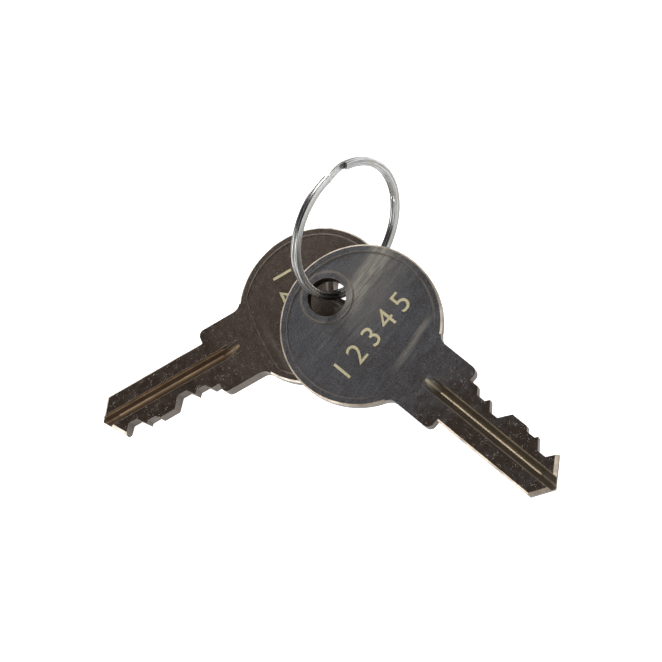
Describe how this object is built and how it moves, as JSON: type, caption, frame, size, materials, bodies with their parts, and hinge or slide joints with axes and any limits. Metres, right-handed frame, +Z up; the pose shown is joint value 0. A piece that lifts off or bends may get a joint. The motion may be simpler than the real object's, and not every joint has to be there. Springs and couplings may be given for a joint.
{
  "type": "flat lock key set on a split ring",
  "caption": "Pair of flat single-sided lock keys with round bows, milled warding grooves and stepped cuts, threaded on one thin wire split ring.",
  "frame": {"origin": "centre of the set's footprint, on the surface the keys and the ring rest on", "axes": "+Z up from the resting surface; the ring stands nearly upright and faces -Y with a lean of 12.5 degrees; the front key's blade points mostly towards -Y and the back key's blade towards -X and +Y"},
  "size_m": [0.0526, 0.0683, 0.0214],
  "materials": {
    "front_key": "dull nickel plate, worn through to brass in the grooves, cuts and stamped marks",
    "back_key": "dull nickel plate, worn through to brass in the grooves, cuts and stamped marks",
    "key_ring": "bright rolled flat wire"
  },
  "bodies": {
    "ring": {"key_ring": "key_ring"},
    "upper_key": {"front_key": "front_key"},
    "lower_key": {"back_key": "back_key"}
  },
  "joints": [
    {"name": "front_key_round_ring", "type": "hinge", "parent": "ring", "child": "upper_key", "pos_m": [0.01545, 0.0098, 0.01068], "axis": [0, -0.9763, 0.2164], "range_deg": [-130, 0]},
    {"name": "back_key_round_ring", "type": "hinge", "parent": "ring", "child": "lower_key", "pos_m": [0.01545, 0.0098, 0.01068], "axis": [0, -0.9763, 0.2164], "range_deg": [0, 130]}
  ]
}
